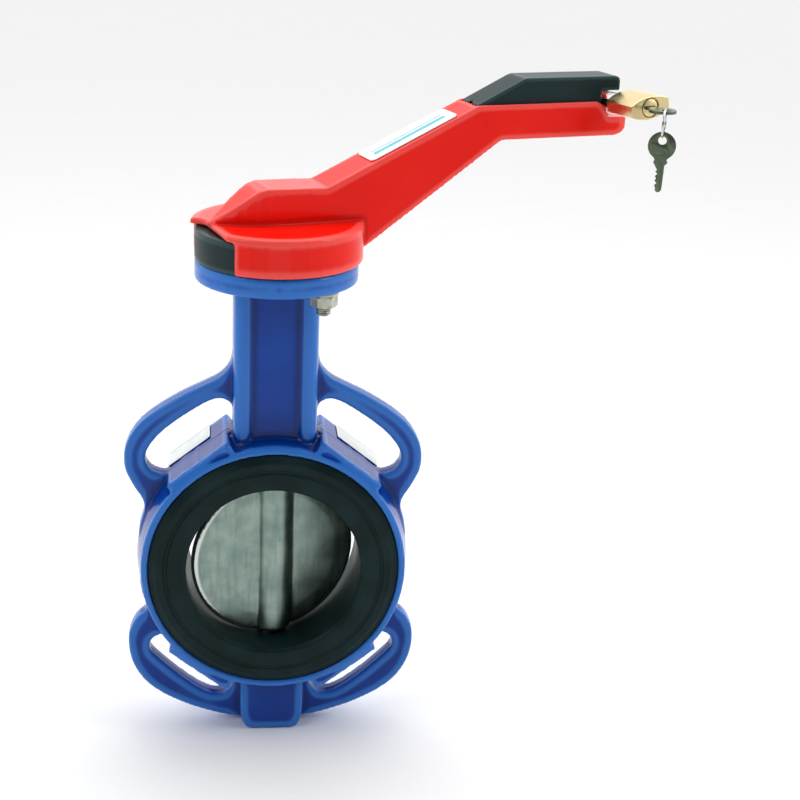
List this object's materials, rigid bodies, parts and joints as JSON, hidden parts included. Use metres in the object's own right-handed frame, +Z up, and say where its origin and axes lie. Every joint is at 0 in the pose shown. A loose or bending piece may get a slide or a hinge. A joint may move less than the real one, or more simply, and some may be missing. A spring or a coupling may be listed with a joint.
{
  "type": "wafer butterfly valve",
  "caption": "Wafer butterfly valve with a blue long-necked body, black rubber seat, steel disc, red notched hand lever and a brass padlock with its keys on the lever's tail",
  "frame": {"origin": "where the stem's axis crosses the pipe's axis, at the centre of the bore", "axes": "+Z up along the stem towards the lever, +Y along the pipe towards the rear face, so the front face looks along -Y, and +X to the right seen from the front"},
  "size_m": [0.3073, 0.1292, 0.3847],
  "materials": {
    "blue_epoxy": "glossy fused epoxy over a cast body",
    "silver_plate": "thin satin plate, unmarked",
    "black_rubber": "moulded, satin, slightly green black",
    "seal_rubber": "moulded seal rings",
    "bronze": "sintered bush, satin",
    "black_plastic": "fine moulded grain, satin",
    "zinc_steel": "zinc plated",
    "stainless_bar": "ground bar",
    "stainless_disc": "fine turned and brushed, polished rim",
    "red_enamel": "glossy enamel over a casting",
    "white_label": "smooth film with two plain coloured bands",
    "polished_steel": "polished",
    "brass": "drawn bar, satin",
    "key_nickel": "worn nickel plate"
  },
  "bodies": {
    "valve": {"valve_body": "blue_epoxy", "body_label_left": "silver_plate", "body_label_right": "silver_plate", "seat_liner": "black_rubber", "upper_bush": "bronze", "middle_bush": "bronze", "lower_bush": "bronze", "stem_seal_lower": "seal_rubber", "stem_seal_upper": "seal_rubber", "stem_wiper": "seal_rubber", "stem_retaining_ring": "zinc_steel", "thrust_disc": "bronze", "notch_plate": "black_plastic", "plate_bolt_front": "zinc_steel", "plate_bolt_rear": "zinc_steel", "plate_washer_front": "zinc_steel", "plate_washer_rear": "zinc_steel", "plate_nut_front": "zinc_steel", "plate_nut_rear": "zinc_steel"},
    "rotor": {"stem": "stainless_bar", "disc": "stainless_disc", "lever_handle": "red_enamel", "lever_label": "white_label", "lever_set_screw": "zinc_steel", "trigger_pivot_pin": "zinc_steel", "trigger_spring": "zinc_steel"},
    "trigger": {"trigger": "black_plastic", "latch_bar": "zinc_steel", "latch_cross_pin": "zinc_steel"},
    "shackle": {"padlock_shackle": "polished_steel"},
    "padlock": {"padlock_body": "brass"},
    "key": {"padlock_plug": "brass", "key_in_lock": "key_nickel"},
    "ring": {"key_ring": "polished_steel"},
    "spare": {"spare_key": "key_nickel"}
  },
  "joints": [
    {"name": "stem_turn", "type": "hinge", "parent": "valve", "child": "rotor", "pos_m": [0, 0, 0], "axis": [0, 0, 1], "range_deg": [-18, 72]},
    {"name": "trigger_press", "type": "hinge", "parent": "rotor", "child": "trigger", "pos_m": [0.11223, 0.03646, 0.251], "axis": [-0.309, 0.9511, 0], "range_deg": [0, 2.6], "stiffness_Nm_per_rad": 4.4, "springref_deg": -2.86, "deforming": ["trigger_spring"]},
    {"name": "padlock_swing", "type": "hinge", "parent": "rotor", "child": "shackle", "pos_m": [0.1866, 0.06063, 0.2593], "axis": [-0.3987, 0.9171, 0], "range_deg": [-12, 31]},
    {"name": "padlock_open", "type": "slide", "parent": "shackle", "child": "padlock", "axis": [0.3987, -0.9171, 0], "range_m": [0, 0.008]},
    {"name": "key_turn", "type": "hinge", "parent": "padlock", "child": "key", "pos_m": [0.19475, 0.06417, 0.26071], "axis": [-0.3987, 0.9171, 0], "range_deg": [0, 90]},
    {"name": "ring_swing", "type": "hinge", "parent": "key", "child": "ring", "pos_m": [0.21408, 0.01303, 0.26071], "axis": [0.342, 0.9397, 0], "range_deg": [-25, 25]},
    {"name": "spare_swing", "type": "hinge", "parent": "ring", "child": "spare", "pos_m": [0.21363, 0.01178, 0.24731], "axis": [0.342, 0.9397, 0], "range_deg": [-60, 60]}
  ]
}
